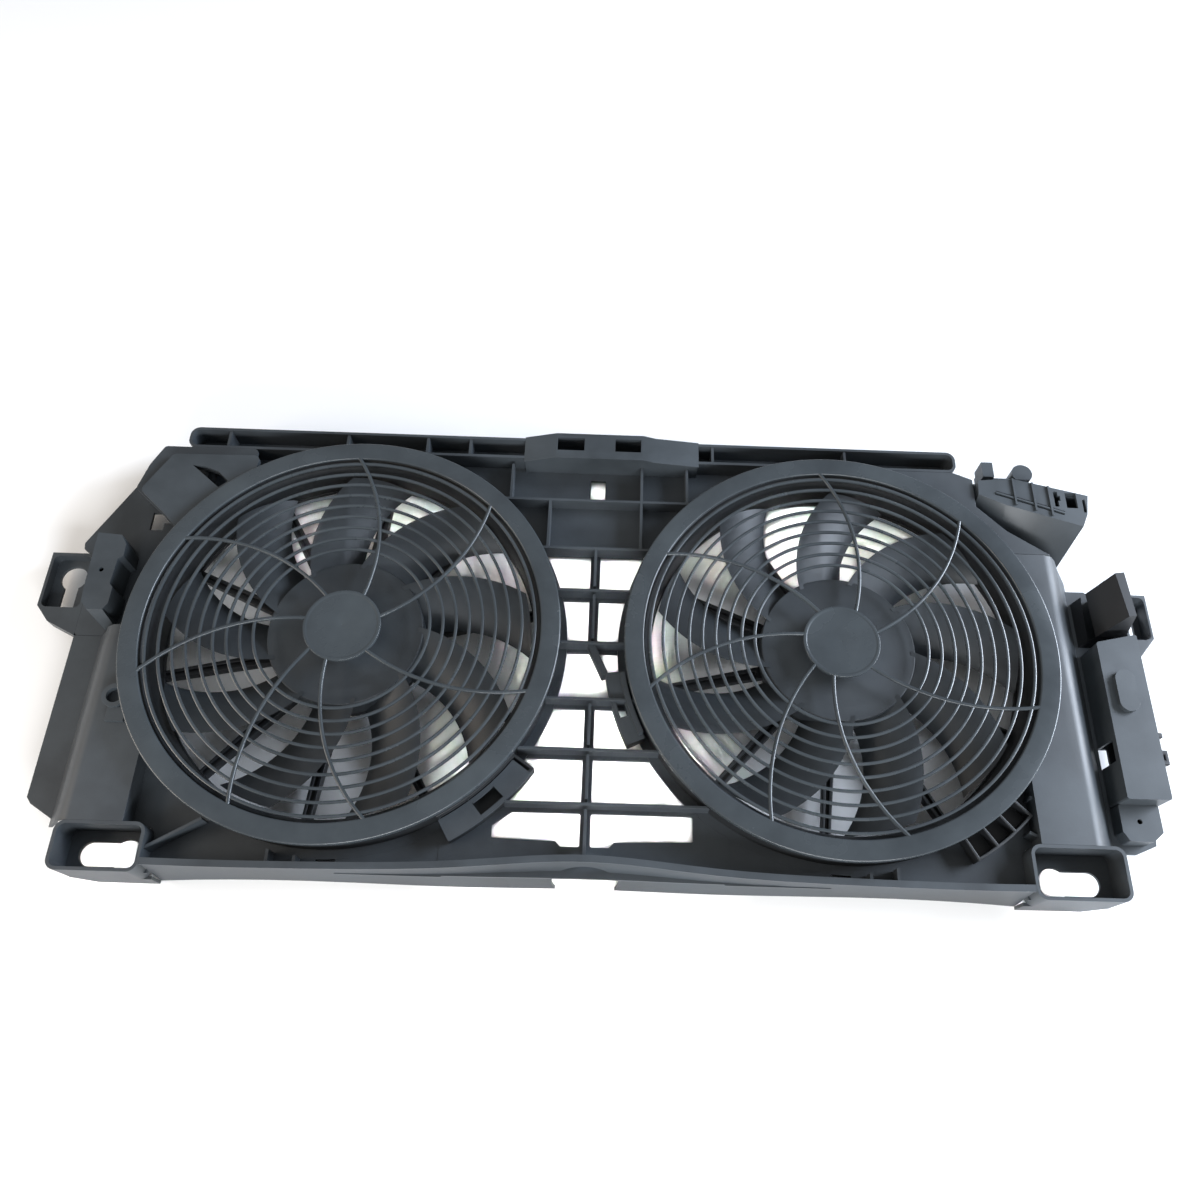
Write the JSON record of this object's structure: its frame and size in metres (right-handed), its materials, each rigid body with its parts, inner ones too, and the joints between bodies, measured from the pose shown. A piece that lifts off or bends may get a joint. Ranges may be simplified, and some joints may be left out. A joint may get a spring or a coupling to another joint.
{
  "type": "condenser fan",
  "caption": "Wide moulded carrier with two guarded axial cooling fans side by side, corner keyhole pockets, side ears and a ribbed top beam.",
  "frame": {"origin": "on the back plane, midway between the two fan axes, which is the bottom centre of the bounding box", "axes": "+X along the module's length, to the control-module cover; +Y to the ribbed top beam; +Z out of the two guards, along both fan axes"},
  "size_m": [0.926, 0.386, 0.066],
  "materials": {
    "carrier_plastic": "moulded glass-filled plastic, fine grain, charcoal",
    "guard_plastic": "moulded plastic, satin, charcoal",
    "frame_plastic": "moulded plastic, matt, near black",
    "blade_plastic": "moulded plastic, satin, dark slate",
    "black_plastic": "moulded plastic, matt black",
    "motor_steel": "drawn and zinc-plated sheet steel",
    "sintered_bronze": "oil-filled sintered bronze",
    "ferrite": "ground ferrite",
    "carbon": "pressed carbon",
    "zinc_steel": "zinc-plated steel",
    "core_steel": "stacked steel laminations",
    "copper_wire": "enamelled copper wire",
    "copper_bars": "turned copper bars"
  },
  "bodies": {
    "module": {"left_guard": "guard_plastic", "right_guard": "guard_plastic", "left_fan_frame": "frame_plastic", "right_fan_frame": "frame_plastic", "left_motor_carrier": "frame_plastic", "right_motor_carrier": "frame_plastic", "motor_cans": "motor_steel", "motor_end_caps": "motor_steel", "motor_bearings": "sintered_bronze", "motor_magnets": "ferrite", "brush_holders": "black_plastic", "brushes": "carbon", "motor_screws": "zinc_steel", "left_bay_plate": "carrier_plastic", "right_bay_plate": "carrier_plastic", "left_corner_pocket": "carrier_plastic", "right_corner_pocket": "carrier_plastic", "left_column": "carrier_plastic", "right_column": "carrier_plastic", "bottom_rail": "carrier_plastic", "top_beam": "carrier_plastic", "centre_web": "carrier_plastic", "lattice_bars": "carrier_plastic", "left_side_plate": "carrier_plastic", "left_upper_panel": "carrier_plastic", "left_ear": "carrier_plastic", "right_ear": "carrier_plastic", "right_shoulder": "carrier_plastic", "latch_block": "carrier_plastic", "left_hood": "carrier_plastic", "left_terminal_box": "carrier_plastic", "module_cover": "carrier_plastic", "upper_bracket": "carrier_plastic", "bracket_posts": "carrier_plastic", "cable_clip": "carrier_plastic", "module_latch": "black_plastic", "connector_shield": "black_plastic"},
    "left_rotor": {"left_impeller": "blade_plastic", "left_hub_nut": "zinc_steel", "left_motor_shaft": "zinc_steel", "left_armature_core": "core_steel", "left_armature_winding": "copper_wire", "left_commutator": "copper_bars"},
    "right_rotor": {"right_impeller": "blade_plastic", "right_hub_nut": "zinc_steel", "right_motor_shaft": "zinc_steel", "right_armature_core": "core_steel", "right_armature_winding": "copper_wire", "right_commutator": "copper_bars"}
  },
  "joints": [
    {"name": "left_fan_spin", "type": "hinge", "parent": "module", "child": "left_rotor", "pos_m": [-0.1977, 0, 0.03], "axis": [0, 0, 1], "continuous": true},
    {"name": "right_fan_spin", "type": "hinge", "parent": "module", "child": "right_rotor", "pos_m": [0.1977, 0, 0.03], "axis": [0, 0, 1], "continuous": true}
  ]
}
